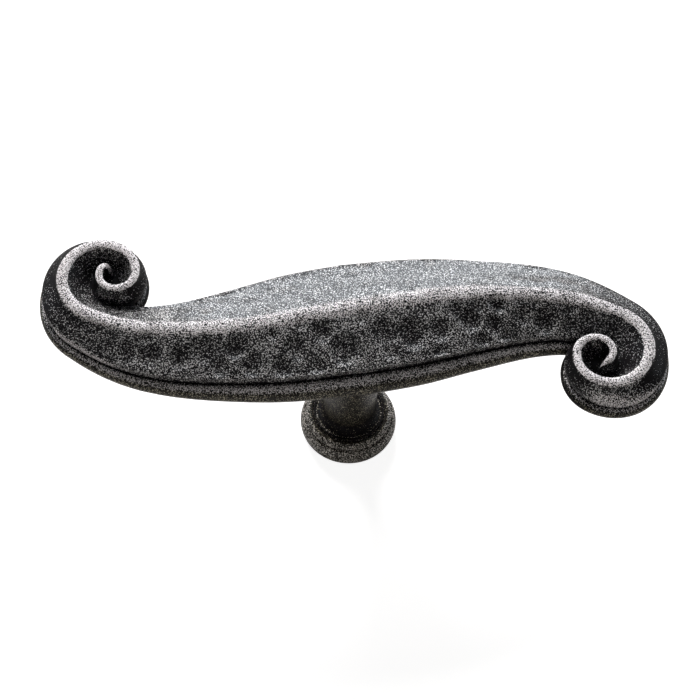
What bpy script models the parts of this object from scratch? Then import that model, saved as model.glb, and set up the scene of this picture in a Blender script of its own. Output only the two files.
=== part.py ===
"""Cabinet knob, cast in one piece: a bar with a roofed face whose crest curls into a volute at
each end, carried on a turned post and foot that a screw from behind the door pulls tight.

Metres, +Z out of the door. The origin is on the post's axis at the face that meets the door, and
the bar runs along X. The bar's two halves are one shape turned by half a turn about Z.
"""

import math
from typing import NamedTuple

import bmesh
import bpy
from mathutils import Matrix, Vector


class Turn(NamedTuple):
    """One arc of the crest, with the reach of the section at the arc's far end."""

    sweep: float    # degrees turned
    radius: float   # of the arc, along the crest
    lip: float      # from the crest to the lip on the outside of the turn
    rim: float      # from the crest to the middle of the rim below that lip
    inside: float   # from the crest to the foot of the face on the inside of the turn


# The bar's section at the post.
FACE_HEIGHT = 0.0376          # crest above the door
ROOF_RISE = 0.00355           # crest above the lip at the foot of each sloping face
BAR_REACH = 0.0103            # from the crest to the middle of either rim
RIM_RADIUS = 0.00185
LIP_ABOVE_RIM = 0.00370       # lip above the middle of the rim
LIP_INSET = 0.0003            # lip inside the middle of the rim
GROOVE_ANGLE = 114            # place on the rim where the lip's wall meets it, in degrees
STEEPEST_START = 0.9          # cosine of the lowest such place, where the rim is tucked in
RIDGE_WIDTH = 0.0020          # the crest in the bar
RIDGE_ROUNDING = 0.0002       # fall from the middle of the crest to its edge

# The crest's path: a straight run out of the middle, then arcs that all turn the same way.
CREST_SLANT = math.radians(14.9)
CREST_RUN = 0.0102
STRAIGHT_LIP = 0.0092         # reaches at the end of the straight run
STRAIGHT_RIM = 0.0096
STRAIGHT_INSIDE = 0.0101
BAR_TURNS = (
    Turn(7.1, 0.0800, 0.0080, 0.00845, 0.00875),
    Turn(8.3, 0.0800, 0.0070, 0.0071, 0.00635),
    Turn(22.6, 0.0300, 0.0046, 0.0045, 0.0052),
)
VOLUTE_TURNS = (
    Turn(59, 0.00705, 0.0033, 0.0028, 0.0054),
    Turn(61.7, 0.00675, 0.0028, 0.0024, 0.0040),
    Turn(59, 0.0060, 0.00185, 0.00155, 0.0028),
    Turn(75, 0.0048, 0.0017, 0.00105, 0.0021),
    Turn(96, 0.0031, 0.0014, 0.0016, 0.0013),
    Turn(100, 0.0025, 0.0010, 0.0010, 0.0009),
    Turn(92, 0.00125, 0.0008, 0.0008, 0.0006),
)

# The volutes.
VOLUTE_FALL = 0.0020          # crest there, below the crest at the post
VOLUTE_DEPTH = 0.0032         # channel's foot below the crest where the volute begins
EYE_DEPTH = 0.0030            # floor of the eye below the crest
VOLUTE_LIP_FALL = 0.0015      # widest part of the wall there, below the lip at the post
VOLUTE_RIM_RADIUS = 0.0010
STRIP_WIDTH = 0.00175         # the flat strip that the crest becomes
STRIP_END_WIDTH = 0.0011      # the strip at the eye
TIP_LENGTH = 0.0016           # the strip dives into the floor of the eye over this length
TIP_SINK = 0.0002             # its end below that floor
TIP_WIDTH_SHARE = 0.25        # width left at its end
CHANNEL_HOLLOW = 0.6          # how far the face inside the turn sags; 0 is straight
INSIDE_ROUNDING = 0.0003      # buried edge of the section, inside the turn
EYE_RADIUS = 0.0026
EYE_CENTRE = (-0.0397, 0.0049)

# The post and the foot.
FOOT_DIAMETER = 0.0160
FOOT_BEAD_HEIGHT = 0.0042
FOOT_BEAD_SWELL = 0.0012      # half the bead's thickness along the radius
RING_SWELL = 0.00085          # the second ring, inside and above the bead
RING_RISE = 0.0009
RING_INSET = 0.0008           # its outer edge inside the foot's edge
RING_TUCK = 20                # how far its ends turn under, in degrees
BEAD_TOP_ANGLE = 55           # place where the bead ends at the ring, in degrees
QUIRK_RADIUS = 0.0059         # the fine edge between the ring and the cove
QUIRK_SIZE = 0.0002
QUIRK_START = 30.0            # ends of the fine edge's round top, in degrees
QUIRK_END = 150.0
COVE_WIDTH = 0.0014
COVE_HEIGHT = 0.0019
NECK_RADIUS = 0.0042
POST_TOP_RADIUS = 0.0053
POST_FILLET = 0.0014          # where the post meets the bar
POST_BURIED = 0.0010          # length of the post inside the bar

# The tapped hole for the fixing screw.
HOLE_RADIUS = 0.0017
HOLE_DEPTH = 0.0140
HOLE_CHAMFER = 0.0004
DRILL_POINT = math.radians(59)

# The finish.
METAL_COLOUR = (0.19, 0.185, 0.18, 1.0)
METAL_SHEEN = 0.9
METAL_ROUGHNESS = 0.5
SHARP_ANGLE = math.radians(35)

# How finely round shapes are divided.
TURN_STEP = math.radians(11)
RUN_STEP = 0.0030
FACE_STEPS = 4
WALL_STEPS = 2
RIM_STEPS = 5
ARC_STEPS = 6
QUIRK_STEPS = 3
POST_STEPS = 8
TURNED_SIDES = 48
TINY = 0.000001

LIP_HEIGHT = FACE_HEIGHT - ROOF_RISE
RIM_HEIGHT = LIP_HEIGHT - LIP_ABOVE_RIM
UNDERSIDE = RIM_HEIGHT - RIM_RADIUS
VOLUTE_RIM_TOP = UNDERSIDE + 2.0 * VOLUTE_RIM_RADIUS


def clear_scene():
    for item in list(bpy.data.objects):
        bpy.data.objects.remove(item, do_unlink=True)


def dark_metal():
    material = bpy.data.materials.new("blackened_metal")
    material.use_nodes = True
    shader = material.node_tree.nodes["Principled BSDF"]
    shader.inputs["Base Color"].default_value = METAL_COLOUR
    shader.inputs["Metallic"].default_value = METAL_SHEEN
    shader.inputs["Roughness"].default_value = METAL_ROUGHNESS
    material.diffuse_color = METAL_COLOUR
    return material


def new_object(name, mesh_builder):
    """An object from a bmesh, closed with its faces outward and shaded smooth."""
    bmesh.ops.remove_doubles(mesh_builder, verts=mesh_builder.verts, dist=TINY)
    bmesh.ops.recalc_face_normals(mesh_builder, faces=mesh_builder.faces)
    mesh = bpy.data.meshes.new(name)
    mesh_builder.to_mesh(mesh)
    mesh_builder.free()
    mesh.shade_smooth()
    mesh.set_sharp_from_angle(angle=SHARP_ANGLE)
    item = bpy.data.objects.new(name, mesh)
    bpy.context.collection.objects.link(item)
    return item


def mix(first, second, share):
    return first + (second - first) * share


def ease(start, end, at):
    """0 before start, 1 after end, and a smooth rise between them."""
    t = min(max((at - start) / (end - start), 0.0), 1.0)
    return t * t * (3.0 - 2.0 * t)


def through(places, values, at):
    """The value at one place of a smooth curve through all the values."""
    k = 0
    while k < len(places) - 2 and at > places[k + 1]:
        k += 1
    span = places[k + 1] - places[k]
    t = (at - places[k]) / span

    def slope(j):
        before = max(j - 1, 0)
        after = min(j + 1, len(places) - 1)
        return (values[after] - values[before]) / (places[after] - places[before])

    bend_in = t * (1.0 - t) ** 2 * slope(k) * span
    bend_out = t * t * (1.0 - t) * slope(k + 1) * span
    rise = t * t * (3.0 - 2.0 * t)
    return values[k] + (values[k + 1] - values[k]) * rise + bend_in - bend_out


def ellipse(centre, half_width, half_height, start, end, steps):
    """Points on an ellipse's arc, from one angle to another, in degrees."""
    points = []
    for step in range(steps + 1):
        angle = math.radians(start + (end - start) * step / steps)
        across = centre[0] + half_width * math.cos(angle)
        up = centre[1] + half_height * math.sin(angle)
        points.append((across, up))
    return points


class Crest:
    """The path of the crest from the middle of the bar to the eye of one volute."""

    def __init__(self):
        self.turns = BAR_TURNS + VOLUTE_TURNS
        lengths = [CREST_RUN]
        lengths += [math.radians(turn.sweep) * turn.radius for turn in self.turns]
        self.joints = [0.0]
        for length in lengths:
            self.joints.append(self.joints[-1] + length)
        self.lips = [BAR_REACH - LIP_INSET, STRAIGHT_LIP] + [turn.lip for turn in self.turns]
        self.rims = [BAR_REACH, STRAIGHT_RIM] + [turn.rim for turn in self.turns]
        self.insides = [BAR_REACH, STRAIGHT_INSIDE] + [turn.inside for turn in self.turns]
        self.end = self.joints[-1]
        self.volute_start = self.joints[1 + len(BAR_TURNS)]
        self.volute_full = self.joints[2 + len(BAR_TURNS)]
        self.bar_end = self.joints[len(BAR_TURNS)]

    def stations(self):
        """Places on the crest as (distance, point, heading)."""
        heading = math.pi + CREST_SLANT
        point = Vector((0.0, 0.0))
        found = [(0.0, point.copy(), heading)]
        steps = max(1, math.ceil(CREST_RUN / RUN_STEP))
        along = Vector((math.cos(heading), math.sin(heading)))
        for step in range(1, steps + 1):
            travel = CREST_RUN * step / steps
            found.append((travel, along * travel, heading))
        for k, turn in enumerate(self.turns):
            start_point = found[-1][1]
            start_heading = found[-1][2]
            sweep = math.radians(turn.sweep)
            inward = Vector((math.sin(start_heading), -math.cos(start_heading)))
            centre = start_point + inward * turn.radius
            steps = math.ceil(max(sweep / TURN_STEP, sweep * turn.radius / RUN_STEP))
            for step in range(1, steps + 1):
                turned = sweep * step / steps
                heading = start_heading - turned
                outward = Vector((-math.sin(heading), math.cos(heading)))
                travel = self.joints[k + 1] + turned * turn.radius
                found.append((travel, centre + outward * turn.radius, heading))
        return found

    def section(self, travel):
        """The bar's outline across the crest at one place, as (outward, height) points."""
        fall = ease(0.0, self.volute_start, travel)
        curl = ease(self.bar_end, self.volute_full, travel)
        coil = ease(self.volute_full, self.end, travel)
        dive = self.dive(travel)
        crest = FACE_HEIGHT - VOLUTE_FALL * fall
        floor = crest - mix(mix(ROOF_RISE, VOLUTE_DEPTH, fall), EYE_DEPTH, coil)
        strip = mix(mix(RIDGE_WIDTH, STRIP_WIDTH, curl), STRIP_END_WIDTH, coil)
        half_strip = 0.5 * strip * mix(1.0, TIP_WIDTH_SHARE, dive)
        top = (half_strip, mix(crest, floor - TIP_SINK, dive))
        lip_height = mix(LIP_HEIGHT - VOLUTE_LIP_FALL * fall, VOLUTE_RIM_TOP, dive)
        lip = (through(self.joints, self.lips, travel), lip_height)
        reach = through(self.joints, self.rims, travel)
        rim = mix(RIM_RADIUS, VOLUTE_RIM_RADIUS, ease(0.0, self.volute_full, travel))
        outer = side(top, lip, reach, rim, curl, 0.0)
        bury = ease(0.5 * (self.bar_end + self.volute_start), self.volute_start, travel)
        rounding = mix(rim, INSIDE_ROUNDING, bury)
        inside = through(self.joints, self.insides, travel)
        foot = (inside - LIP_INSET * (1.0 - bury), floor - 2.0 * TIP_SINK * dive)
        inner = side(top, foot, inside, rounding, 0.0, CHANNEL_HOLLOW * curl)
        return outer + [(-across, up) for across, up in reversed(inner)]

    def dive(self, travel):
        """Share of the way down to the floor of the eye, round the nose of the crest's end."""
        into = max(0.0, travel - (self.end - TIP_LENGTH)) / TIP_LENGTH
        return 1.0 - math.sqrt(1.0 - min(into, 1.0) ** 2)


def side(top, lip, reach, rim, curl, hollow):
    """One side of the section, from the crest over the lip and the rim to the underside.

    With curl at 0 the face and the wall below its lip are straight. With curl at 1 the face is
    a cove under the crest, and it swells round the lip into the groove above the rim.
    """
    edge = (top[0], top[1] - RIDGE_ROUNDING)
    lip = (max(lip[0], edge[0]), lip[1])
    points = [(0.5 * top[0], top[1]), edge]
    for step in range(1, FACE_STEPS + 1):
        t = step / FACE_STEPS
        across = mix(edge[0], lip[0], mix(t, ease(0.0, 1.0, t), curl))
        up = lip[1] + (edge[1] - lip[1]) * (1.0 - t) ** (1.0 + hollow)
        points.append((across, up))
    start = math.radians(GROOVE_ANGLE)
    if reach + rim * math.cos(start) < edge[0]:
        start = math.acos(min((edge[0] - reach) / rim, STEEPEST_START))
    bead = ellipse((reach, UNDERSIDE + rim), rim, rim, math.degrees(start), -90.0, RIM_STEPS)
    groove = bead[0]
    for step in range(1, WALL_STEPS):
        t = step / WALL_STEPS
        quarter = 0.5 * math.pi * t
        across = mix(lip[0], groove[0], mix(t, 1.0 - math.cos(quarter), curl))
        up = mix(lip[1], groove[1], mix(t, math.sin(quarter), curl))
        points.append((across, up))
    return points + bead


def bar_mesh():
    """The bar and both volutes, as sections bridged along the whole crest."""
    builder = bmesh.new()
    crest = Crest()
    left, right = [], []
    for travel, point, heading in crest.stations():
        outward = Vector((-math.sin(heading), math.cos(heading)))
        outline = []
        for across, up in crest.section(travel):
            place = point + outward * across
            outline.append(Vector((place.x, place.y, up)))
        left.append(outline)
        if travel > 0.0:
            right.append([Vector((-p.x, -p.y, p.z)) for p in reversed(outline)])
    rings = [[builder.verts.new(p) for p in outline] for outline in left[::-1] + right]
    for first, second in zip(rings, rings[1:]):
        count = len(first)
        for k in range(count):
            after = (k + 1) % count
            builder.faces.new((first[k], first[after], second[after], second[k]))
    builder.faces.new(rings[0])
    builder.faces.new(rings[-1])
    return builder


def turned(profile):
    """A solid of revolution about Z from (radius, height) points that start and end on it."""
    builder = bmesh.new()
    verts = [builder.verts.new((radius, 0.0, height)) for radius, height in profile]
    edges = [builder.edges.new(pair) for pair in zip(verts, verts[1:])]
    bmesh.ops.spin(
        builder, geom=verts + edges, cent=(0, 0, 0), axis=(0, 0, 1),
        angle=2.0 * math.pi, steps=TURNED_SIDES, use_merge=True,
    )
    return builder


def post_profile():
    """The foot's bead, ring, fine edge and cove, then the post, up into the bar."""
    foot_radius = 0.5 * FOOT_DIAMETER
    bead = (foot_radius - FOOT_BEAD_SWELL, 0.5 * FOOT_BEAD_HEIGHT)
    profile = [(0.0, 0.0)]
    profile += ellipse(bead, FOOT_BEAD_SWELL, bead[1], -90.0, BEAD_TOP_ANGLE, 2 * ARC_STEPS)
    ring_edge = foot_radius - RING_INSET
    ring = (ring_edge - RING_SWELL, FOOT_BEAD_HEIGHT)
    profile += ellipse(ring, RING_SWELL, RING_RISE, -RING_TUCK, 90.0 + RING_TUCK, ARC_STEPS)
    quirk_height = FOOT_BEAD_HEIGHT + RING_RISE
    quirk = (QUIRK_RADIUS - QUIRK_SIZE, quirk_height)
    profile.append((QUIRK_RADIUS, quirk_height - QUIRK_SIZE))
    profile += ellipse(quirk, QUIRK_SIZE, QUIRK_SIZE, QUIRK_START, QUIRK_END, QUIRK_STEPS)
    cove = (NECK_RADIUS + COVE_WIDTH, quirk_height + COVE_HEIGHT)
    profile += ellipse(cove, COVE_WIDTH, COVE_HEIGHT, 270.0, 180.0, ARC_STEPS)
    fillet_start = UNDERSIDE - POST_FILLET
    for step in range(1, POST_STEPS + 1):
        t = step / POST_STEPS
        radius = mix(NECK_RADIUS, POST_TOP_RADIUS, math.sin(0.5 * math.pi * t))
        profile.append((radius, cove[1] + (fillet_start - cove[1]) * t))
    fillet = (POST_TOP_RADIUS + POST_FILLET, fillet_start)
    profile += ellipse(fillet, POST_FILLET, POST_FILLET, 180.0, 90.0, ARC_STEPS)[1:]
    profile.append((fillet[0], UNDERSIDE + POST_BURIED))
    profile.append((0.0, UNDERSIDE + POST_BURIED))
    return profile


def hole_profile():
    """The drilled hole with its chamfered mouth and the cone that the drill leaves."""
    cone = HOLE_RADIUS / math.tan(DRILL_POINT)
    mouth = HOLE_RADIUS + 2.0 * HOLE_CHAMFER
    return [
        (0.0, -HOLE_CHAMFER),
        (mouth, -HOLE_CHAMFER),
        (HOLE_RADIUS, HOLE_CHAMFER),
        (HOLE_RADIUS, HOLE_DEPTH),
        (0.0, HOLE_DEPTH + cone),
    ]


def eye_profile():
    """The solid middle of a volute, flush with the underside."""
    floor = FACE_HEIGHT - VOLUTE_FALL - EYE_DEPTH
    return [(0.0, UNDERSIDE), (EYE_RADIUS, UNDERSIDE), (EYE_RADIUS, floor), (0.0, floor)]


def combine(target, tool, operation):
    """Join the tool to the target, or cut it away, and keep the tool as a hidden guide."""
    modifier = target.modifiers.new(tool.name, "BOOLEAN")
    modifier.object = tool
    modifier.operation = operation
    modifier.solver = "EXACT"
    modifier.use_self = True
    tool.display_type = "WIRE"
    tool.hide_render = True


def build():
    clear_scene()
    knob = new_object("cast_knob", bar_mesh())
    knob.data.materials.append(dark_metal())
    near_eye = new_object("eye_near", turned(eye_profile()))
    near_eye.location = (EYE_CENTRE[0], EYE_CENTRE[1], 0.0)
    far_eye = near_eye.copy()
    far_eye.name = "eye_far"
    bpy.context.collection.objects.link(far_eye)
    far_eye.matrix_world = Matrix.Rotation(math.pi, 4, "Z") @ Matrix.Translation(near_eye.location)
    combine(knob, near_eye, "UNION")
    combine(knob, far_eye, "UNION")
    combine(knob, new_object("post_and_foot", turned(post_profile())), "UNION")
    combine(knob, new_object("screw_hole", turned(hole_profile())), "DIFFERENCE")


build()
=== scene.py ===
"""Cast cabinet knob in antique blackened metal: a bar with a roofed, hammered face whose crest
curls into a volute at each end, on a turned post and foot.

The casting is lofted again in fine steps from the sizes of its CAD solid, hammered, and finished
with a black patina that is rubbed to bright grain on everything that stands proud, with light and
shade painted on its walls, hammer marks, rims and foot.
"""

import math
import random
from typing import NamedTuple

import bmesh
import bpy
from bpy.props import FloatProperty, FloatVectorProperty, PointerProperty
from bpy.types import Operator, Panel, PropertyGroup
from mathutils import Matrix, Vector
from mathutils.bvhtree import BVHTree
from mathutils.kdtree import KDTree


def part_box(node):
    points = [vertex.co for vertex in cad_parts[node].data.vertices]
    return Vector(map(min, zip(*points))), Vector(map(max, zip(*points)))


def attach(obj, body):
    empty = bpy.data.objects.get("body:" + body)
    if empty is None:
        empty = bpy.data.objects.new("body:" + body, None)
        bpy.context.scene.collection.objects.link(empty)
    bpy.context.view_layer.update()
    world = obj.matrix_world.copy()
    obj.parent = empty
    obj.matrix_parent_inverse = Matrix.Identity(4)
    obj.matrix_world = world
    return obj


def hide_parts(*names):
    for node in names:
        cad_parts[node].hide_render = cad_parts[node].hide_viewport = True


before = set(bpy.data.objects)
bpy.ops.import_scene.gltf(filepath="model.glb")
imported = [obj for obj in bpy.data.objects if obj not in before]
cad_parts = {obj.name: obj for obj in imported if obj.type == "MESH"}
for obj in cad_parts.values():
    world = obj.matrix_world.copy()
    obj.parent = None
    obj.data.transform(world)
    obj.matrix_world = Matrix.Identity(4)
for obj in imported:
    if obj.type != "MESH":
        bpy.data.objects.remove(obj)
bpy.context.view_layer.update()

bl_info = {
    "name": "Volute Cabinet Knob",
    "version": (1, 0, 0),
    "blender": (4, 5, 0),
    "location": "View3D > Sidebar > Knob",
    "description": "Builds the hammered, blackened volute knob and its plain studio",
    "category": "Object",
}

NODE = "cast_knob"
MM = 0.001


class Turn(NamedTuple):
    """One arc of the crest, with the reach of the section at the arc's far end."""

    sweep: float    # degrees turned
    radius: float   # of the arc, along the crest
    lip: float      # from the crest to the lip on the outside of the turn
    rim: float      # from the crest to the middle of the rim below that lip
    inside: float   # from the crest to the foot of the face on the inside of the turn


class Place(NamedTuple):
    """One point of the bar's outline, with its finish."""

    across: float   # outward from the crest
    up: float
    rub: float      # 1 is rubbed bare, 0 is plain patina, below 0 is soot in a groove; painted light raises it and painted shade lowers it
    brown: float    # share of brown tarnish
    struck: float   # share of the hammering that it takes


class Mark(NamedTuple):
    """One hammer mark on the face, seen from above, in millimetres."""

    x: float
    y: float
    radius: float
    depth: float    # share of the hammering depth


BAR_TURNS = (
    Turn(7.1, 0.0800, 0.0080, 0.00845, 0.00875),
    Turn(8.3, 0.0800, 0.0070, 0.0071, 0.00635),
    Turn(22.6, 0.0300, 0.0046, 0.0045, 0.0052),
)
VOLUTE_TURNS = (
    Turn(59, 0.00705, 0.0033, 0.0028, 0.0054),
    Turn(61.7, 0.00675, 0.0028, 0.0024, 0.0040),
    Turn(59, 0.0060, 0.00185, 0.00155, 0.0028),
    Turn(75, 0.0048, 0.0017, 0.00105, 0.0021),
    Turn(96, 0.0031, 0.0014, 0.0016, 0.0013),
    Turn(100, 0.0025, 0.0010, 0.0010, 0.0009),
    Turn(92, 0.00125, 0.0008, 0.0008, 0.0006),
)
OUTER_TURNS = 3               # turns of a volute that are lofted with the bar
CURL_TURNS = 2                # and turns in the first of its two inner lofts
COVE_TURNS = 2                # turns over which the cove below the strip sets in
CREST_RUN = 0.0102
STRAIGHT_LIP = 0.0092
STRAIGHT_RIM = 0.0096
STRAIGHT_INSIDE = 0.0101

# Hammer marks on the near face, from the left volute to the right one.
NEAR_MARKS = (
    Mark(-35.3, -9.1, 2.0, 0.6), Mark(-32.7, -7.1, 1.4, 0.5), Mark(-31.7, -9.6, 2.0, 0.7),
    Mark(-27.0, -9.8, 2.0, 0.7), Mark(-23.2, -8.5, 2.4, 0.8), Mark(-20.6, -11.0, 1.7, 0.6),
    Mark(-18.3, -7.9, 2.0, 0.8), Mark(-15.6, -10.4, 2.0, 0.7), Mark(-12.6, -5.8, 1.0, 0.5),
    Mark(-10.7, -10.5, 2.0, 0.7), Mark(-8.9, -7.6, 2.0, 0.7), Mark(-8.5, -3.7, 1.2, 0.4),
    Mark(-5.3, -10.1, 1.7, 0.6), Mark(-5.0, -4.7, 1.9, 0.6), Mark(-1.2, -7.1, 2.7, 0.8),
    Mark(1.2, -2.0, 1.2, 0.4), Mark(5.1, -4.0, 2.4, 0.7), Mark(5.9, -6.4, 1.7, 0.5),
    Mark(9.2, -3.5, 2.7, 1.0), Mark(13.6, -2.3, 2.0, 0.7), Mark(14.0, -6.1, 1.7, 0.6),
    Mark(15.9, 1.1, 1.5, 0.5), Mark(18.3, -0.1, 2.0, 1.0), Mark(19.3, 2.3, 1.5, 0.6),
    Mark(20.4, -3.1, 1.4, 0.6), Mark(22.5, 3.0, 1.7, 1.0), Mark(22.4, -0.3, 1.7, 0.7),
    Mark(24.0, -1.5, 1.4, 0.6), Mark(26.1, 4.3, 1.5, 0.6), Mark(26.8, 1.8, 1.7, 0.7),
    Mark(28.5, 4.1, 1.5, 0.6), Mark(30.3, 1.5, 2.2, 1.0), Mark(33.8, 4.0, 2.0, 0.7),
    Mark(34.5, 1.2, 1.2, 0.5), Mark(37.1, 2.6, 1.5, 0.6),
)

# How finely the casting is divided.
RUN_STEP = 0.00036
TURN_STEP = math.radians(2.5)
CREST_STEPS = 3
FACE_STEPS = 26
WALL_STEPS = 8
RIM_STEPS = 16
TURNED_SIDES = 144
ARC_STEPS = 14
POST_STEPS = 40
QUIRK_STEPS = 6
SAME_PLACE = 0.0000001        # points this close are one point of a solid
WELD = 0.003 * MM             # and this close, after the solids are joined
SLIVER = 0.002 * MM           # edges this short are taken out
SHARP_EDGE = math.radians(40)


class KnobSizes(PropertyGroup):
    """Sizes of the casting."""

    face_height: FloatProperty(
        name="Face height", description="Crest above the door", default=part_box(NODE)[1].z,
        unit="LENGTH", precision=5)
    roof_rise: FloatProperty(
        name="Roof rise", description="Crest above the lip at the foot of each sloping face",
        default=0.00355, unit="LENGTH", precision=5)
    bar_reach: FloatProperty(
        name="Bar reach", description="From the crest to the middle of either rim",
        default=0.0103, unit="LENGTH", precision=5)
    rim_radius: FloatProperty(
        name="Rim radius", description="Radius of the round rim below the lip",
        default=0.00185, unit="LENGTH", precision=5)
    lip_above_rim: FloatProperty(
        name="Lip above rim", description="Lip above the middle of the rim",
        default=0.00370, unit="LENGTH", precision=5)
    lip_inset: FloatProperty(
        name="Lip inset", description="Lip inside the middle of the rim",
        default=0.0003, unit="LENGTH", precision=5)
    ridge_width: FloatProperty(
        name="Ridge width", description="Soft crest of the bar", default=0.0020,
        unit="LENGTH", precision=5)
    crest_slant: FloatProperty(
        name="Crest slant", description="Slant of the crest where it crosses the post",
        default=math.radians(14.9), unit="ROTATION")
    volute_fall: FloatProperty(
        name="Volute fall", description="Crest of the volutes below the crest at the post",
        default=0.0020, unit="LENGTH", precision=5)
    volute_depth: FloatProperty(
        name="Channel depth", description="Foot of the channel below the crest",
        default=0.0032, unit="LENGTH", precision=5)
    eye_depth: FloatProperty(
        name="Eye depth", description="Floor of the eye below the crest",
        default=0.0030, unit="LENGTH", precision=5)
    strip_width: FloatProperty(
        name="Strip width", description="Flat strip that the crest becomes in a volute",
        default=0.00175, unit="LENGTH", precision=5)
    strip_end_width: FloatProperty(
        name="Strip end width", description="The strip near its end in the eye",
        default=0.0011, unit="LENGTH", precision=5)
    foot_diameter: FloatProperty(
        name="Foot diameter", description="Across the foot's bead", default=0.0160,
        unit="LENGTH", precision=5)
    neck_radius: FloatProperty(
        name="Neck radius", description="Radius of the post just above its cove",
        default=0.0042, unit="LENGTH", precision=5)
    post_top_radius: FloatProperty(
        name="Post top radius", description="Radius of the post below the bar",
        default=0.0053, unit="LENGTH", precision=5)
    hammer_depth: FloatProperty(
        name="Hammer depth", description="Depth of the strongest hammer mark",
        default=0.00065, unit="LENGTH", precision=5)


class KnobFinish(PropertyGroup):
    """Colours and grain of the blackened metal."""

    patina: FloatVectorProperty(
        name="Patina", description="Black patina in the pits of the grain", subtype="COLOR",
        size=3, min=0.0, max=1.0, default=(0.009, 0.009, 0.010))
    bright: FloatVectorProperty(
        name="Bright grain", description="Metal that the rubbing has laid bare",
        subtype="COLOR", size=3, min=0.0, max=1.0, default=(0.86, 0.86, 0.86))
    crest: FloatVectorProperty(
        name="Crest", description="Metal of the crest, rubbed brightest", subtype="COLOR",
        size=3, min=0.0, max=1.0, default=(1.0, 0.96, 0.97))
    olive: FloatVectorProperty(
        name="Brown tarnish", description="Thin brown tarnish of the rims and the post",
        subtype="COLOR", size=3, min=0.0, max=1.0, default=(0.42, 0.385, 0.285))
    grain_size: FloatProperty(
        name="Grain size", description="Width of one grain of bare metal", default=0.00019,
        unit="LENGTH", precision=5)
    grain_relief: FloatProperty(
        name="Grain relief", description="How far the grain stands out of its pits",
        default=0.00003, unit="LENGTH", precision=6)


class KnobStage(PropertyGroup):
    """Floor, lights and camera."""

    floor_colour: FloatVectorProperty(
        name="Floor colour", description="Pale floor", subtype="COLOR", size=3, min=0.0,
        max=1.0, default=(0.55, 0.55, 0.55))
    floor_size: FloatProperty(
        name="Floor size", description="Side of the square floor", default=6.0,
        unit="LENGTH")
    rear_light: FloatProperty(
        name="Rear light", description="Power of the wide cool light behind the knob",
        default=2.35, unit="POWER")
    high_light: FloatProperty(
        name="High light", description="Power of the light above and behind the knob",
        default=5.0, unit="POWER")
    side_light: FloatProperty(
        name="Side light", description="Power of each low panel beside the knob, in reflections",
        default=0.5, unit="POWER")
    crest_light: FloatProperty(
        name="Crest light", description="Power of the narrow light that the crest mirrors",
        default=0.45, unit="POWER")
    front_light: FloatProperty(
        name="Front light", description="Power of the soft light beside the camera",
        default=0.65, unit="POWER")
    world_level: FloatProperty(
        name="Room light", description="Level of the even light of the room", default=0.06)
    camera_place: FloatVectorProperty(
        name="Camera place", description="Where the camera stands", subtype="XYZ",
        unit="LENGTH", size=3, default=(-0.000402, -0.253774, 0.426962))
    camera_tilt: FloatProperty(
        name="Camera tilt", description="Tilt of the camera up from straight down",
        default=math.radians(32.205), unit="ROTATION")
    camera_roll: FloatProperty(
        name="Camera roll", description="Roll of the camera about its view",
        default=math.radians(3.417), unit="ROTATION")
    camera_lens: FloatProperty(
        name="Lens", description="Focal length in millimetres", default=151.23)


def mix(first, second, share):
    return first + (second - first) * share


def ease(start, end, at):
    """0 before start, 1 after end, and a smooth rise between them."""
    t = min(max((at - start) / (end - start), 0.0), 1.0)
    return t * t * (3.0 - 2.0 * t)


def through(places, values, at):
    """The value at one place of a smooth curve through all the values."""
    k = 0
    while k < len(places) - 2 and at > places[k + 1]:
        k += 1
    span = places[k + 1] - places[k]
    t = (at - places[k]) / span

    def slope(j):
        before = max(j - 1, 0)
        after = min(j + 1, len(places) - 1)
        return (values[after] - values[before]) / (places[after] - places[before])

    bend_in = t * (1.0 - t) ** 2 * slope(k) * span
    bend_out = t * t * (1.0 - t) * slope(k + 1) * span
    rise = t * t * (3.0 - 2.0 * t)
    return values[k] + (values[k + 1] - values[k]) * rise + bend_in - bend_out


def ellipse(centre, half_width, half_height, start, end, steps):
    """Points on an ellipse's arc, from one angle to another, in degrees."""
    points = []
    for step in range(steps + 1):
        angle = math.radians(start + (end - start) * step / steps)
        across = centre[0] + half_width * math.cos(angle)
        up = centre[1] + half_height * math.sin(angle)
        points.append((across, up))
    return points


# Smaller sizes of the section, of the crest's end and of the eye.
GROOVE_ANGLE = 114            # place on the rim where the lip's wall meets it, in degrees
GROOVE_LIMIT = 0.9            # cosine of that place where the strip hangs over the rim, at most
RIDGE_ROUNDING = 0.0002       # fall from the middle of the crest to its edge
VOLUTE_LIP_FALL = 0.0015      # widest part of a volute's wall, below the lip at the post
VOLUTE_RIM_RADIUS = 0.0010
CHANNEL_HOLLOW = 0.6          # how far the face inside the turn sags; 0 is straight
INSIDE_ROUNDING = 0.0003      # buried edge of the section, inside the turn
TIP_LENGTH = 0.0016           # the crest dives into the floor of the eye over this length
TIP_SINK = 0.0002             # its end below that floor
TIP_WIDTH_SHARE = 0.25        # width left at its end
EYE_RADIUS = 0.0026
EYE_CENTRE = (-0.0396, 0.0049)
EYE_DISH = 0.0008             # the eye's floor is hollow by this much in its middle

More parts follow.
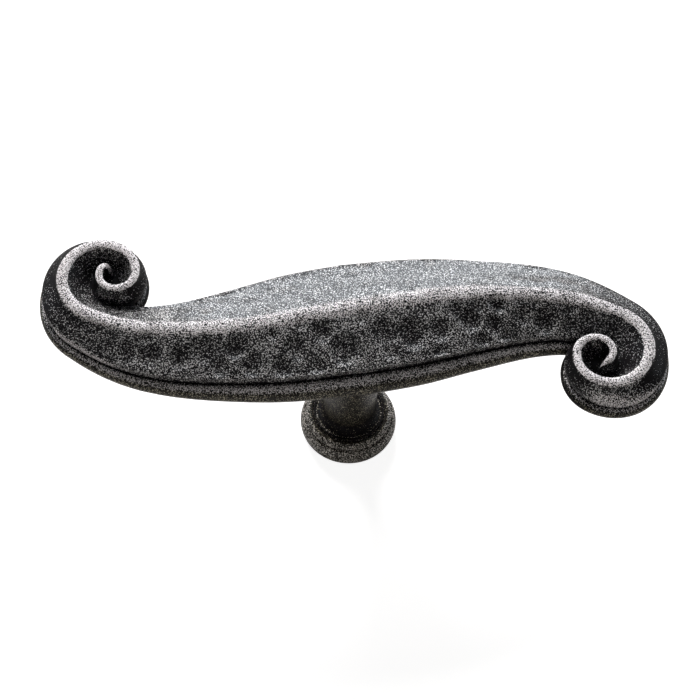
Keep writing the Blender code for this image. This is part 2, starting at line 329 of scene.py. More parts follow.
# Finish across the section. A rub is a share, as in Place. A pair is where a change of finish
# starts and ends, from 0 at the upper edge of the face, wall or bead to 1 at its lower edge.
CREST_RUB = 1.15
STRIP_RUB = 1.7
CREST_STRUCK = 0.45           # share of the hammering that the bar's crest takes
CREST_FADE = 0.12             # the rubbing fades over this much of the bar's faces
STRIP_FADE = 0.03             # and over this much beside a volute's strip
FIRST_TURN_FADE = 0.45        # and outside the strip on the volute's first turn
LIP_RUB = 0.3
LIP_BAND = (0.93, 1.0)
LIP_UNSTRUCK = (0.90, 1.0)    # the hammering dies out toward the lip
CHANNEL_RUB = 0.4
# painted shade in the cove under a volute's strip
COVE_PAINTED_SHADE = 0.9
COVE_TOP = (0.02, 0.12)
COVE_BOTTOM = (0.6, 0.35)
WALL_RUB = (0.5, 0.3)         # at the top and at the bottom of the wall
WALL_SOOT_AND_PAINTED_SHADE = 0.9
WALL_SOOT_START = 0.75        # on the bar, soot toward the groove; a volute's wall is darkened from its top, as painted shade
# the rim's upper side: rubbed bright, with a painted highlight
BEAD_RUB_AND_PAINTED_HIGHLIGHT = 2.0
BEAD_FADE = (0.15, 0.40)
BEAD_BROWN = (0.20, 0.40)
GROOVE_SOOT = 2.9
GROOVE_BAND = (0.0, 0.09)

# Hammering. The marks end where the volutes begin.
HAMMERED_X = (0.036, 0.041)
MARK_SHADE_SHIFT = 0.5 * MM   # a mark's painted shade is darkest this far up from its middle
STRUCK_RUB = 0.2              # rub of the struck face between the marks
# painted shade in the near marks
MARK_PAINTED_SHADE = 0.9
FAR_SEED = 5
FAR_ROWS = range(-3, 6)
FAR_COLUMNS = range(-10, 11)
FAR_PITCH = (3.9, 3.3)        # between far marks along the bar and across it, in millimetres
FAR_SCATTER = 0.3             # share of the pitch by which a far mark may be out of its row
FAR_RADII = (2.0, 2.8)
FAR_DEPTHS = (0.15, 0.4)


class Crest:
    """The path of the crest from the middle of the bar to the eye of one volute."""

    def __init__(self, sizes):
        self.sizes = sizes
        self.turns = BAR_TURNS + VOLUTE_TURNS
        lengths = [CREST_RUN]
        lengths += [math.radians(turn.sweep) * turn.radius for turn in self.turns]
        self.joints = [0.0]
        for length in lengths:
            self.joints.append(self.joints[-1] + length)
        self.lips = [sizes.bar_reach - sizes.lip_inset, STRAIGHT_LIP]
        self.lips += [turn.lip for turn in self.turns]
        self.rims = [sizes.bar_reach, STRAIGHT_RIM] + [turn.rim for turn in self.turns]
        self.insides = [sizes.bar_reach, STRAIGHT_INSIDE]
        self.insides += [turn.inside for turn in self.turns]
        self.end = self.joints[-1]
        self.volute_start = self.joints[1 + len(BAR_TURNS)]
        self.volute_full = self.joints[2 + len(BAR_TURNS)]
        self.cove_full = self.joints[1 + COVE_TURNS + len(BAR_TURNS)]
        self.bar_end = self.joints[len(BAR_TURNS)]
        self.lip_height = sizes.face_height - sizes.roof_rise
        self.underside = self.lip_height - sizes.lip_above_rim - sizes.rim_radius
        self.volute_rim_top = self.underside + 2.0 * VOLUTE_RIM_RADIUS

    def runs(self):
        """Lists of (travel, point, heading) on the straight run and then on each arc."""
        heading = math.pi + self.sizes.crest_slant
        along = Vector((math.cos(heading), math.sin(heading)))
        steps = math.ceil(CREST_RUN / RUN_STEP)
        run = []
        for step in range(steps + 1):
            travel = CREST_RUN * step / steps
            run.append((travel, along * travel, heading))
        found = [run]
        for k, turn in enumerate(self.turns):
            start_point = found[-1][-1][1]
            start_heading = found[-1][-1][2]
            sweep = math.radians(turn.sweep)
            inward = Vector((math.sin(start_heading), -math.cos(start_heading)))
            centre = start_point + inward * turn.radius
            steps = math.ceil(max(sweep / TURN_STEP, sweep * turn.radius / RUN_STEP))
            arc = []
            for step in range(steps + 1):
                turned = sweep * step / steps
                heading = start_heading - turned
                outward = Vector((-math.sin(heading), math.cos(heading)))
                travel = self.joints[k + 1] + turned * turn.radius
                arc.append((travel, centre + outward * turn.radius, heading))
            found.append(arc)
        return found

    def section(self, travel):
        """The outline across the crest at one place, as a ring of Place tuples."""
        s = self.sizes
        fall = ease(0.0, self.volute_start, travel)
        curl = ease(self.bar_end, self.volute_full, travel)
        coil = ease(self.volute_full, self.end, travel)
        into = max(0.0, travel - (self.end - TIP_LENGTH)) / TIP_LENGTH
        dive = 1.0 - math.sqrt(1.0 - min(into, 1.0) ** 2)
        crest = s.face_height - s.volute_fall * fall
        floor = crest - mix(mix(s.roof_rise, s.volute_depth, fall), s.eye_depth, coil)
        strip = mix(mix(s.ridge_width, s.strip_width, curl), s.strip_end_width, coil)
        half_strip = 0.5 * strip * mix(1.0, TIP_WIDTH_SHARE, dive)
        top = (half_strip, mix(crest, floor - TIP_SINK, dive))
        lip_height = mix(self.lip_height - VOLUTE_LIP_FALL * fall, self.volute_rim_top, dive)
        lip = (through(self.joints, self.lips, travel), lip_height)
        reach = through(self.joints, self.rims, travel)
        rim = mix(s.rim_radius, VOLUTE_RIM_RADIUS, ease(0.0, self.volute_full, travel))
        cove = ease(self.volute_start, self.cove_full, travel)
        outer = self.side(top, lip, reach, rim, curl, curl, 0.0, cove)
        bury = ease(0.5 * (self.bar_end + self.volute_start), self.volute_start, travel)
        rounding = mix(rim, INSIDE_ROUNDING, bury)
        inside = through(self.joints, self.insides, travel)
        foot = (inside - s.lip_inset * (1.0 - bury), floor - 2.0 * TIP_SINK * dive)
        inner = self.side(top, foot, inside, rounding, curl, 0.0, CHANNEL_HOLLOW * curl, 0.0)
        return outer + [place._replace(across=-place.across) for place in inner[::-1]]

    def side(self, top, lip, reach, rim, curl, swell, hollow, cove):
        """One side of the section, from the crest over the lip and the rim to the underside.

        The face swells with swell, sags with hollow, and has painted shade under the crest with
        cove.
        """
        edge = (top[0], top[1] - RIDGE_ROUNDING)
        lip = (max(lip[0], edge[0]), lip[1])
        points = []
        for step in range(1, CREST_STEPS + 1):
            t = (step - 0.5) / (CREST_STEPS - 0.5)
            up = top[1] - RIDGE_ROUNDING * t * t
            rub = mix(CREST_RUB, STRIP_RUB, curl)
            points.append(Place(top[0] * t, up, rub, 0.0, CREST_STRUCK * (1.0 - curl)))
        soft = mix(CREST_FADE, mix(STRIP_FADE, FIRST_TURN_FADE, swell * (1.0 - cove)), curl)
        for step in range(1, FACE_STEPS + 1):
            t = step / FACE_STEPS
            across = mix(edge[0], lip[0], mix(t, ease(0.0, 1.0, t), swell))
            up = lip[1] + (edge[1] - lip[1]) * (1.0 - t) ** (1.0 + hollow)
            rub = 1.0 - ease(0.0, soft, t) + CHANNEL_RUB * hollow * (1.0 - t)
            rub += LIP_RUB * ease(*LIP_BAND, t) * (1.0 - curl)
            # painted shade under the strip
            rub -= COVE_PAINTED_SHADE * cove * ease(*COVE_TOP, t) * ease(*COVE_BOTTOM, t)
            points.append(Place(across, up, rub, 0.0, 1.0 - ease(*LIP_UNSTRUCK, t)))
        start = math.radians(GROOVE_ANGLE)
        if reach + rim * math.cos(start) < edge[0]:
            start = math.acos(min((edge[0] - reach) / rim, GROOVE_LIMIT))
        centre = (reach, self.underside + rim)
        bead = ellipse(centre, rim, rim, math.degrees(start), -90.0, RIM_STEPS)
        groove = bead[0]
        for step in range(1, WALL_STEPS):
            t = step / WALL_STEPS
            quarter = 0.5 * math.pi * t
            across = mix(lip[0], groove[0], mix(t, 1.0 - math.cos(quarter), swell))
            up = mix(lip[1], groove[1], mix(t, math.sin(quarter), swell))
            # soot toward the groove on the bar, and painted shade over a volute's wall
            rub = mix(*WALL_RUB, t) - WALL_SOOT_AND_PAINTED_SHADE * ease(mix(WALL_SOOT_START, 0.0, curl), 1.0, t)
            points.append(Place(across, up, rub, 0.0, 0.0))
        for step, (across, up) in enumerate(bead):
            t = step / RIM_STEPS
            # rubbed grain and a painted highlight along the rim's upper side
            rub = BEAD_RUB_AND_PAINTED_HIGHLIGHT * (1.0 - ease(*BEAD_FADE, t))
            rub -= GROOVE_SOOT * (1.0 - ease(*GROOVE_BAND, t))
            points.append(Place(across, up, rub, ease(*BEAD_BROWN, t), 0.0))
        return points


def hammering(marks, x, y):
    """How far the hammer has pushed the face down at one place, as a share."""
    deepest = 0.0
    for mark in marks:
        away = ((x / MM - mark.x) ** 2 + (y / MM - mark.y) ** 2) / mark.radius ** 2
        if away < 1.0:
            deepest = max(deepest, mark.depth * (1.0 - away))
    return deepest


def far_marks():
    """Fainter hammer marks over the far face, in crooked rows."""
    dice = random.Random(FAR_SEED)
    marks = []
    for row in FAR_ROWS:
        for column in FAR_COLUMNS:
            along = column + 0.5 * (row % 2) + dice.uniform(-FAR_SCATTER, FAR_SCATTER)
            across = row + dice.uniform(-FAR_SCATTER, FAR_SCATTER)
            radius = dice.uniform(*FAR_RADII)
            depth = dice.uniform(*FAR_DEPTHS)
            marks.append(Mark(along * FAR_PITCH[0], across * FAR_PITCH[1], radius, depth))
    return marks


def chained(groups):
    """The rings of several arcs as one list, each shared ring once."""
    rings = list(groups[0])
    for group in groups[1:]:
        rings += group[1:]
    return rings


def half_turned(rings):
    """The same rings, half a turn round about the post."""
    return [[(Vector((-p.x, -p.y, p.z)), place, not near) for p, place, near in ring[::-1]]
            for ring in rings]


def cast_rings(crest):
    """The rings of each loft: the bar with the outer windings, and the four inner windings.

    A ring is a list of (point, Place, near), where near means on the camera's side of the crest.
    """
    groups = []
    for stations in crest.runs():
        rings = []
        for travel, point, heading in stations:
            outward = Vector((-math.sin(heading), math.cos(heading)))
            ring = []
            for place in crest.section(travel):
                flat = point + outward * place.across
                near = place.across * outward.y < 0.0
                ring.append((Vector((flat.x, flat.y, place.up)), place, near))
            rings.append(ring)
        groups.append(rings)
    outer = 1 + len(BAR_TURNS) + OUTER_TURNS
    middle = outer + CURL_TURNS
    half = chained(groups[:outer])
    whole = half_turned(half)[:0:-1] + half
    curls = [chained(groups[outer:middle]), chained(groups[middle:])]
    return [whole] + curls + [half_turned(rings) for rings in curls]


def hammer(lofts, hammer_depth):
    """Pushes the marks into the rings, and paints shade on the upper side of each near mark."""
    far = far_marks()
    for ring in [ring for rings in lofts for ring in rings]:
        for k, (p, place, near) in enumerate(ring):
            marks = NEAR_MARKS if near else far
            struck = place.struck * (1.0 - ease(*HAMMERED_X, abs(p.x)))
            p.z -= hammer_depth * hammering(marks, p.x, p.y) * struck
            if near:
                # painted shade on the upper side of the mark
                painted_shade = hammering(marks, p.x, p.y - MARK_SHADE_SHIFT)
                rub = place.rub + struck * (STRUCK_RUB - MARK_PAINTED_SHADE * painted_shade)
                ring[k] = (p, place._replace(rub=rub), near)


def loft_object(name, rings):
    """A closed solid through the rings."""
    builder = bmesh.new()
    rows = [[builder.verts.new(p) for p, place, near in ring] for ring in rings]
    for first, second in zip(rows, rows[1:]):
        count = len(first)
        for k in range(count):
            after = (k + 1) % count
            builder.faces.new((first[k], first[after], second[after], second[k]))
    builder.faces.new(rows[0])
    builder.faces.new(rows[-1])
    return solid(name, builder)


def solid(name, builder):
    """An object from a bmesh, with its faces outward."""
    bmesh.ops.remove_doubles(builder, verts=builder.verts, dist=SAME_PLACE)
    bmesh.ops.recalc_face_normals(builder, faces=builder.faces)
    mesh = bpy.data.meshes.new(name)
    builder.to_mesh(mesh)
    builder.free()
    item = bpy.data.objects.new(name, mesh)
    bpy.context.scene.collection.objects.link(item)
    return item


def turned(name, profile):
    """A solid of revolution about Z from (radius, height) points that start and end on it."""
    builder = bmesh.new()
    verts = [builder.verts.new((radius, 0.0, height)) for radius, height in profile]
    edges = [builder.edges.new(pair) for pair in zip(verts, verts[1:])]
    bmesh.ops.spin(
        builder, geom=verts + edges, cent=(0, 0, 0), axis=(0, 0, 1),
        angle=2.0 * math.pi, steps=TURNED_SIDES, use_merge=True)
    return solid(name, builder)


FOOT_BEAD_HEIGHT = 0.0042
FOOT_BEAD_SWELL = 0.0012      # half the bead's thickness along the radius
RING_SWELL = 0.00085          # the second ring, inside and above the bead
RING_RISE = 0.0009
RING_INSET = 0.0008           # its outer edge inside the foot's edge
RING_TUCK = 20                # how far its ends turn under, in degrees
BEAD_TOP_ANGLE = 55           # place where the bead ends at the ring, in degrees
QUIRK_RADIUS = 0.0059         # the fine edge between the ring and the cove
QUIRK_SIZE = 0.0002
COVE_WIDTH = 0.0014
COVE_HEIGHT = 0.0019
POST_FILLET = 0.0014          # where the post meets the bar
POST_BURIED = 0.0010          # length of the post inside the bar
HOLE_RADIUS = 0.0017
HOLE_DEPTH = 0.0140
HOLE_CHAMFER = 0.0004
DRILL_POINT = math.radians(59)


def post_profile(sizes, underside):
    """The foot's bead, ring, fine edge and cove, then the post, up into the bar."""
    foot_radius = 0.5 * sizes.foot_diameter
    bead = (foot_radius - FOOT_BEAD_SWELL, 0.5 * FOOT_BEAD_HEIGHT)
    profile = [(0.0, 0.0)]
    profile += ellipse(bead, FOOT_BEAD_SWELL, bead[1], -90.0, BEAD_TOP_ANGLE, 2 * ARC_STEPS)
    ring_edge = foot_radius - RING_INSET
    ring = (ring_edge - RING_SWELL, FOOT_BEAD_HEIGHT)
    profile += ellipse(ring, RING_SWELL, RING_RISE, -RING_TUCK, 90.0 + RING_TUCK, ARC_STEPS)
    quirk_height = FOOT_BEAD_HEIGHT + RING_RISE
    quirk = (QUIRK_RADIUS - QUIRK_SIZE, quirk_height)
    profile.append((QUIRK_RADIUS, quirk_height - QUIRK_SIZE))
    profile += ellipse(quirk, QUIRK_SIZE, QUIRK_SIZE, 30.0, 150.0, QUIRK_STEPS)
    cove = (sizes.neck_radius + COVE_WIDTH, quirk_height + COVE_HEIGHT)
    profile += ellipse(cove, COVE_WIDTH, COVE_HEIGHT, 270.0, 180.0, ARC_STEPS)
    fillet_start = underside - POST_FILLET
    for step in range(1, POST_STEPS + 1):
        t = step / POST_STEPS
        radius = mix(sizes.neck_radius, sizes.post_top_radius, math.sin(0.5 * math.pi * t))
        profile.append((radius, cove[1] + (fillet_start - cove[1]) * t))
    fillet = (sizes.post_top_radius + POST_FILLET, fillet_start)
    profile += ellipse(fillet, POST_FILLET, POST_FILLET, 180.0, 90.0, ARC_STEPS)[1:]
    profile.append((fillet[0], underside + POST_BURIED))
    profile.append((0.0, underside + POST_BURIED))
    return profile


def hole_profile():
    """The drilled hole with its chamfered mouth and the cone that the drill leaves."""
    cone = HOLE_RADIUS / math.tan(DRILL_POINT)
    mouth = HOLE_RADIUS + 2.0 * HOLE_CHAMFER
    return [
        (0.0, -HOLE_CHAMFER),
        (mouth, -HOLE_CHAMFER),
        (HOLE_RADIUS, HOLE_CHAMFER),
        (HOLE_RADIUS, HOLE_DEPTH),
        (0.0, HOLE_DEPTH + cone),
    ]


def join_solids(base, tools, holes):
    """One closed mesh: the base with the tools joined to it and the holes cut out."""
    for tool in tools + holes:
        modifier = base.modifiers.new(tool.name, "BOOLEAN")
        modifier.object = tool
        modifier.operation = "DIFFERENCE" if tool in holes else "UNION"
        modifier.solver = "MANIFOLD"
    graph = bpy.context.evaluated_depsgraph_get()
    mesh = bpy.data.meshes.new_from_object(base.evaluated_get(graph))
    builder = bmesh.new()
    builder.from_mesh(mesh)
    bmesh.ops.remove_doubles(builder, verts=builder.verts, dist=WELD)
    bmesh.ops.dissolve_degenerate(builder, edges=builder.edges, dist=SLIVER)
    builder.to_mesh(mesh)
    builder.free()
    for tool in tools + holes + [base]:
        bpy.data.objects.remove(tool)
    return mesh


# Finish of the post and the foot, with a painted highlight on the foot and painted shade in its
# cove.
# the post is darker than plain patina
POST_DARKENING = -0.4
# painted highlight over the foot above its lowest millimetre
FOOT_PAINTED_HIGHLIGHT = 0.45
FOOT_BAND = (0.0, 1.0 * MM)               # heights where the foot's painted highlight sets in
QUIRK_RUB = 1.2
QUIRK_BAND = (0.25 * MM, 0.05 * MM)       # distances from the fine edge, outside and inside
QUIRK_SOOT = 1.0
QUIRK_SOOT_BAND = (0.35 * MM, 0.2 * MM)   # distances from the groove outside that edge
QUIRK_GROOVE = 0.3 * MM                   # from the edge to that groove
RING_CLEARANCE = 0.1 * MM
# painted shade in the cove between the foot's ring and the post
FOOT_COVE_PAINTED_SHADE = -1.2


def turned_finish(place):
    """Rub and tarnish of the post and the foot at one place, with painted highlight and shade."""
    radius = math.hypot(place.x, place.y)
    ring_top = FOOT_BEAD_HEIGHT + RING_RISE
    rub = POST_DARKENING
    if place.z < ring_top + RING_CLEARANCE:
        rub = QUIRK_RUB * ease(*QUIRK_BAND, abs(radius - QUIRK_RADIUS + 0.5 * QUIRK_SIZE))
        rub += FOOT_PAINTED_HIGHLIGHT * ease(*FOOT_BAND, place.z)
        rub -= QUIRK_SOOT * ease(*QUIRK_SOOT_BAND, abs(radius - QUIRK_RADIUS - QUIRK_GROOVE))
    elif radius > QUIRK_RADIUS - 2.0 * QUIRK_SIZE or place.z < ring_top + COVE_HEIGHT:
        rub = FOOT_COVE_PAINTED_SHADE
    return rub, 1.0


# Painted light and shade on the volutes' walls: bright facing front, dark at the sides and inward.
VOLUTE_OUTSIDE_X = (0.034, 0.041)   # distances from the post where the walls' painted light and shade sets in
VOLUTE_INSIDE_X = (0.026, 0.030)
STEEP_BAND = (0.05, 0.32)           # 1 less the normal's Z, from a level face to a steep one
FACING_BAND = (0.30, 0.75)          # share of the normal that faces one way
SIDE_PAINTED_SHADE = -1.6
FRONT_PAINTED_LIGHT = 1.0
BEAD_SIDE_PAINTED_SHADE = 0.4
INWARD_PAINTED_SHADE = 1.3
MOST_WALL_RUB = 1.1                 # what is rubbed further is the strip, and stays as it is
LOFT_CLEARANCE = 0.4 * MM           # what is further from the lofts is the post or the foot
SHELTER_RAYS = 28
SHELTER_REACH = 5.0 * MM
SHELTER_START = 0.02 * MM


def wall_painted_light_and_shade(vertex, place, rub):
    """A volute wall's rub along the section, with light and shade painted by the way it faces."""
    out = abs(vertex.co.x)
    steep = ease(*STEEP_BAND, 1.0 - vertex.normal.z)
    steep *= ease(*VOLUTE_OUTSIDE_X, out) * (place.across > 0.0)
    front = ease(*FACING_BAND, -vertex.normal.y)
    if place.brown < 0.5:
        rub += steep * mix(SIDE_PAINTED_SHADE, FRONT_PAINTED_LIGHT, front)
    else:
        rub -= steep * BEAD_SIDE_PAINTED_SHADE * (1.0 - front)
    inward = -math.copysign(1.0, vertex.co.x) * vertex.normal.x
    return rub - INWARD_PAINTED_SHADE * ease(*FACING_BAND, inward) * ease(*VOLUTE_INSIDE_X, out)


def mark_finish(mesh, lofts):
    """Stores on each vertex its rub with painted light and shade, and how sheltered it lies."""
    points = [entry for rings in lofts for ring in rings for entry in ring]
    tree = KDTree(len(points))
    for index, (p, place, near) in enumerate(points):
        tree.insert(p, index)
    tree.balance()
    surface = BVHTree.FromPolygons(
        [v.co for v in mesh.vertices], [tuple(p.vertices) for p in mesh.polygons])
    rays = fan(SHELTER_RAYS)
    values = {"rub": [], "brown": [], "shelter": []}
    for vertex in mesh.vertices:
        closest, index, away = tree.find(vertex.co)
        place = points[index][1]
        rub, brown = place.rub, place.brown
        if away > LOFT_CLEARANCE:
            # the post and the foot, with their painted highlight and shade
            rub, brown = turned_finish(vertex.co)
        elif rub < MOST_WALL_RUB:
            # painted light and shade by the way the wall faces
            rub = wall_painted_light_and_shade(vertex, place, rub)
        values["rub"].append(rub)
        values["brown"].append(brown)
        values["shelter"].append(hidden(surface, vertex, rays))
    for name, found in values.items():
        layer = mesh.attributes.new(name, "FLOAT", "POINT")
        layer.data.foreach_set("value", found)


def fan(count):
    """Directions spread evenly over the half space above +Z, closer together near the pole."""
    rays = []
    for k in range(count):
        up = math.sqrt((k + 0.5) / count)
        around = k * math.pi * (3.0 - math.sqrt(5.0))
        out = math.sqrt(1.0 - up * up)
        rays.append(Vector((out * math.cos(around), out * math.sin(around), up)))
    return rays


def hidden(surface, vertex, rays):
    """Share of the sky above a vertex that the metal near it hides."""
    turn = vertex.normal.to_track_quat("Z", "X")
    start = vertex.co + vertex.normal * SHELTER_START
    blocked = 0.0
    for ray in rays:
        place, normal, index, distance = surface.ray_cast(start, turn @ ray, SHELTER_REACH)
        if place is not None:
            blocked += 1.0 - distance / SHELTER_REACH
    return blocked / len(rays)


class Wires:
    """Short ways to make and join the nodes of one material."""

    def __init__(self, material):
        material.use_nodes = True
        self.tree = material.node_tree
        self.tree.nodes.clear()

    def node(self, kind, **values):
        made = self.tree.nodes.new("ShaderNode" + kind)
        for name, value in values.items():
            setattr(made, name, value)
        return made

    def put(self, socket, value):
        """A link where the value is a socket, and otherwise a plain value."""
        if isinstance(value, bpy.types.NodeSocket):
            self.tree.links.new(value, socket)
        else:
            socket.default_value = value

    def attribute(self, name):
        return self.node("Attribute", attribute_name=name).outputs["Fac"]

    def noise(self, place, size, detail, roughness=0.5):
        made = self.node("TexNoise")
        self.put(made.inputs["Vector"], place)
        made.inputs["Scale"].default_value = 1.0 / size
        made.inputs["Detail"].default_value = detail
        made.inputs["Roughness"].default_value = roughness
        return made.outputs["Fac"]

    def sums(self, operation, first, second=0.0, third=0.0):
        made = self.node("Math", operation=operation)
        self.put(made.inputs[0], first)
        self.put(made.inputs[1], second)
        self.put(made.inputs[2], third)
        return made.outputs[0]

    def spread(self, value, low, high, new_low=0.0, new_high=1.0, smooth=False):
        made = self.node("MapRange")
        made.interpolation_type = "SMOOTHSTEP" if smooth else "LINEAR"
        self.put(made.inputs["Value"], value)
        self.put(made.inputs["From Min"], low)
        self.put(made.inputs["From Max"], high)
        self.put(made.inputs["To Min"], new_low)
        self.put(made.inputs["To Max"], new_high)
        return made.outputs["Result"]

    def blend(self, share, first, second):
        made = self.node("Mix", data_type="RGBA")
        self.put(made.inputs[0], share)
        self.put(made.inputs[6], first)
        self.put(made.inputs[7], second)
        return made.outputs[2]


def rgba(colour):
    return (*colour, 1.0)


# Where the bright grain lies: the level of the noise that bares it, and what moves that level,
# painted light and shade too.
GRAIN_EDGE = (0.570, 0.610)
RUB_AND_PAINTED_LIGHT_WEIGHT = 0.075
SHELTER_WEIGHT = 0.21
BROAD_WEIGHT = 0.16
BROAD_SIZE = 2.4 * MM
FULL_SOOT_AND_PAINTED_SHADE = -0.8                  # rub where a groove is all soot, and where painted shade is darkest
BROWN_PATINA = (0.014, 0.012, 0.008)
# Soot in the grooves, and the colour of painted shade.
SOOT_AND_PAINTED_SHADE = (0.006, 0.005, 0.006)
GRAIN_METALLIC = 0.20
SPECULAR = (0.1, 0.5)         # of the patina and of the grain
ROUGHNESS = 0.48
SOOT_AND_PAINTED_SHADE_COAT = 0.1               # coat left on soot and on painted shade
RUBBED_AND_PAINTED_LIGHT_COAT = 0.15            # and on rubbed metal and painted light
COAT_ROUGHNESS = 0.22


def blackened_metal(finish):
    """Black patina over cast metal, rubbed to bright grain where proud, with painted light and
    shade.
    """
    material = bpy.data.materials.new("blackened_metal_rubbed")
    wires = Wires(material)
    place = wires.node("TexCoord").outputs["Object"]
    rub = wires.attribute("rub")
    shelter = wires.attribute("shelter")
    brown = wires.attribute("brown")
    fine = wires.noise(place, finish.grain_size, 1.0, 0.5)
    broad = wires.noise(place, BROAD_SIZE, 3.0, 0.6)
    grain_level_shift = wires.sums("MULTIPLY", rub, RUB_AND_PAINTED_LIGHT_WEIGHT)
    grain_level_shift = wires.sums("SUBTRACT", grain_level_shift, wires.sums("MULTIPLY", shelter, SHELTER_WEIGHT))
    patchy = wires.sums("MULTIPLY_ADD", broad, BROAD_WEIGHT, -0.5 * BROAD_WEIGHT)
    grain_level_shift = wires.sums("ADD", grain_level_shift, patchy)
    level = wires.sums("ADD", fine, grain_level_shift)
    grain = wires.spread(level, *GRAIN_EDGE, smooth=True)
    rubbed = wires.spread(rub, 0.0, 1.0)
    soot_and_painted_shade = wires.spread(rub, 0.0, FULL_SOOT_AND_PAINTED_SHADE)
    tarnished = wires.blend(brown, rgba(finish.bright), rgba(finish.olive))
    bright = wires.blend(rubbed, tarnished, rgba(finish.crest))
    dark = wires.blend(brown, rgba(finish.patina), rgba(BROWN_PATINA))
    dark = wires.blend(soot_and_painted_shade, dark, rgba(SOOT_AND_PAINTED_SHADE))
    colour = wires.blend(grain, dark, bright)
    shader = wires.node("BsdfPrincipled")
    wires.put(shader.inputs["Base Color"], colour)
    wires.put(shader.inputs["Metallic"], wires.spread(grain, 0.0, 1.0, 0.0, GRAIN_METALLIC))
    wires.put(shader.inputs["Specular IOR Level"], wires.spread(grain, 0.0, 1.0, *SPECULAR))
    shader.inputs["Roughness"].default_value = ROUGHNESS
    coat = wires.sums("MULTIPLY", wires.spread(soot_and_painted_shade, 0.0, 1.0, 1.0, SOOT_AND_PAINTED_SHADE_COAT),
                      wires.spread(rubbed, 0.0, 1.0, 1.0, RUBBED_AND_PAINTED_LIGHT_COAT))
    wires.put(shader.inputs["Coat Weight"], coat)
    shader.inputs["Coat Roughness"].default_value = COAT_ROUGHNESS
    bump = wires.node("Bump")
    bump.inputs["Strength"].default_value = 1.0
    bump.inputs["Distance"].default_value = finish.grain_relief
    wires.put(bump.inputs["Height"], fine)
    wires.put(shader.inputs["Normal"], bump.outputs["Normal"])
    output = wires.node("OutputMaterial")
    wires.put(output.inputs["Surface"], shader.outputs["BSDF"])
    return material


class KNOB_OT_casting(Operator):
    """Builds the hammered casting with its volutes, post and foot"""

    bl_idname = "knob.casting"
    bl_label = "Casting"

    def execute(self, context):
        sizes = context.scene.knob_sizes
        crest = Crest(sizes)
        lofts = cast_rings(crest)
        hammer(lofts, sizes.hammer_depth)
        parts = [loft_object(f"part_{k}", rings) for k, rings in enumerate(lofts)]
        eye_floor = sizes.face_height - sizes.volute_fall - sizes.eye_depth
        plug = [(0.0, crest.underside), (EYE_RADIUS, crest.underside)]
        plug += ellipse((0.0, eye_floor), EYE_RADIUS, -EYE_DISH, 0.0, 90.0, ARC_STEPS)
        for side in (1.0, -1.0):
            place = (side * EYE_CENTRE[0], side * EYE_CENTRE[1], 0.0)
            eye = turned("eye", plug)
            eye.data.transform(Matrix.Translation(place))
            parts.append(eye)
        parts.append(turned("post", post_profile(sizes, crest.underside)))
        mesh = join_solids(parts[0], parts[1:], [turned("hole", hole_profile())])
        mark_finish(mesh, lofts)
        mesh.name = "volute_knob"
        mesh.shade_smooth()
        mesh.set_sharp_from_angle(angle=SHARP_EDGE)
        mesh.materials.clear()
        mesh.materials.append(blackened_metal(context.scene.knob_finish))
        knob = bpy.data.objects.new("volute_knob", mesh)
        context.scene.collection.objects.link(knob)
        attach(knob, "root")
        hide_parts(NODE)
        return {"FINISHED"}


COOL = (0.88, 0.94, 1.0)
NEUTRAL = (1.0, 0.97, 0.96)
WARM = (1.0, 0.96, 0.90)
LIT_POINT = Vector((0.0, 0.0, 0.030))
FLOOR_GLOW = 0.88             # what the camera sees of the floor beyond its lit colour
FLOOR_DROP = 0.00005          # the floor below the foot
SENSOR_WIDTH = 36.0
CLIP = (0.01, 50.0)


def softbox(name, power, colour, size, place, mirrored):
    """A rectangular lamp that is either only mirrored by the metal or only lights it."""
    light = bpy.data.lights.new(name, "AREA")
    light.shape = "RECTANGLE"
    light.size, light.size_y = size
    light.energy = power
    light.color = colour
    item = bpy.data.objects.new(name, light)
    bpy.context.scene.collection.objects.link(item)
    item.location = place
    item.rotation_euler = (LIT_POINT - Vector(place)).to_track_quat("-Z", "Y").to_euler()
    item.visible_glossy = mirrored
    item.visible_diffuse = not mirrored


def pale_floor(look):
    """A floor that is white where it is lit and keeps the knob's shadow."""
    material = bpy.data.materials.new("pale_floor")
    wires = Wires(material)
    diffuse = wires.node("BsdfDiffuse")
    diffuse.inputs["Color"].default_value = rgba(look.floor_colour)
    glow = wires.node("Emission")
    seen = wires.node("LightPath").outputs["Is Camera Ray"]
    wires.put(glow.inputs["Strength"], wires.sums("MULTIPLY", seen, FLOOR_GLOW))
    both = wires.node("AddShader")
    wires.put(both.inputs[0], diffuse.outputs[0])
    wires.put(both.inputs[1], glow.outputs[0])
    output = wires.node("OutputMaterial")
    wires.put(output.inputs["Surface"], both.outputs[0])
    return material


def room(look):
    """Even room light, with a white background for the camera."""
    world = bpy.data.worlds.new("room")
    world.use_nodes = True
    tree = world.node_tree
    rays = tree.nodes.new("ShaderNodeLightPath")
    level = tree.nodes.new("ShaderNodeMapRange")
    level.inputs["To Min"].default_value = look.world_level
    level.inputs["To Max"].default_value = 1.0
    tree.links.new(rays.outputs["Is Camera Ray"], level.inputs["Value"])
    tree.links.new(level.outputs["Result"], tree.nodes["Background"].inputs["Strength"])
    tree.nodes["Background"].inputs["Color"].default_value = (1.0, 1.0, 1.0, 1.0)
    return world


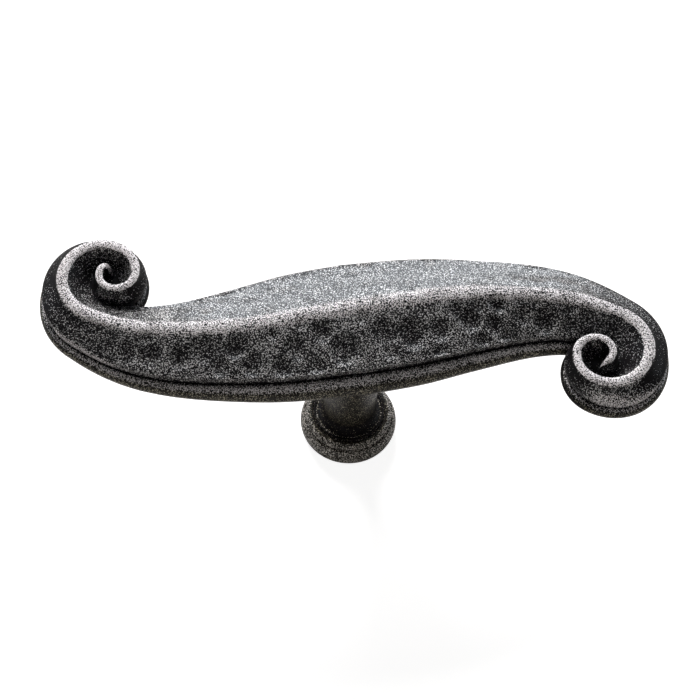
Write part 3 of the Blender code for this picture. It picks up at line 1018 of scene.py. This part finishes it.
class KNOB_OT_stage(Operator):
    """Builds the pale floor, the soft lights and the camera"""

    bl_idname = "knob.stage"
    bl_label = "Stage"

    def execute(self, context):
        look = context.scene.knob_stage
        scene = context.scene
        half = 0.5 * look.floor_size
        mesh = bpy.data.meshes.new("floor")
        mesh.from_pydata(
            [(-half, -half, 0.0), (half, -half, 0.0), (half, half, 0.0), (-half, half, 0.0)],
            [], [(0, 1, 2, 3)])
        mesh.materials.append(pale_floor(look))
        floor = bpy.data.objects.new("floor", mesh)
        scene.collection.objects.link(floor)
        floor.location.z = -FLOOR_DROP
        scene.world = room(look)
        softbox("rear_softbox", look.rear_light, COOL, (0.84, 0.26), (0.0, 0.55, 0.19), True)
        for name, side in (("left_panel", -1.0), ("right_panel", 1.0)):
            softbox(name, look.side_light, COOL, (0.40, 0.26), (side * 0.52, 0.22, 0.19), True)
        softbox("high_softbox", look.high_light, NEUTRAL, (0.30, 0.22), (-0.15, 0.48, 0.36), False)
        softbox("front_softbox", look.front_light, WARM, (0.30, 0.26), (-0.05, -0.54, 0.13), False)
        softbox("crest_softbox", look.crest_light, COOL, (0.50, 0.12), (0.0, 0.26, 0.58), True)
        camera = bpy.data.cameras.new("camera")
        camera.lens = look.camera_lens
        camera.sensor_width = SENSOR_WIDTH
        camera.clip_start, camera.clip_end = CLIP
        item = bpy.data.objects.new("camera", camera)
        scene.collection.objects.link(item)
        turn = Matrix.Rotation(look.camera_tilt, 4, "X") @ Matrix.Rotation(look.camera_roll, 4, "Z")
        item.matrix_world = Matrix.Translation(look.camera_place) @ turn
        scene.camera = item
        scene.view_settings.view_transform = "Standard"
        return {"FINISHED"}


class KNOB_PT_panel(Panel):
    """Sizes, finish and stage of the knob"""

    bl_idname = "KNOB_PT_panel"
    bl_label = "Volute Knob"
    bl_space_type = "VIEW_3D"
    bl_region_type = "UI"
    bl_category = "Knob"

    def draw(self, context):
        for group in (context.scene.knob_sizes, context.scene.knob_finish,
                      context.scene.knob_stage):
            box = self.layout.box()
            for name in group.bl_rna.properties.keys():
                if name not in {"rna_type", "name"}:
                    box.prop(group, name)
        self.layout.operator(KNOB_OT_casting.bl_idname)
        self.layout.operator(KNOB_OT_stage.bl_idname)


CLASSES = (KnobSizes, KnobFinish, KnobStage, KNOB_OT_casting, KNOB_OT_stage, KNOB_PT_panel)


def register():
    for item in CLASSES:
        bpy.utils.register_class(item)
    bpy.types.Scene.knob_sizes = PointerProperty(type=KnobSizes)
    bpy.types.Scene.knob_finish = PointerProperty(type=KnobFinish)
    bpy.types.Scene.knob_stage = PointerProperty(type=KnobStage)


def unregister():
    del bpy.types.Scene.knob_stage
    del bpy.types.Scene.knob_finish
    del bpy.types.Scene.knob_sizes
    for item in reversed(CLASSES):
        bpy.utils.unregister_class(item)


def main():
    register()
    bpy.ops.knob.casting()
    bpy.ops.knob.stage()


if __name__ == "__main__":
    main()
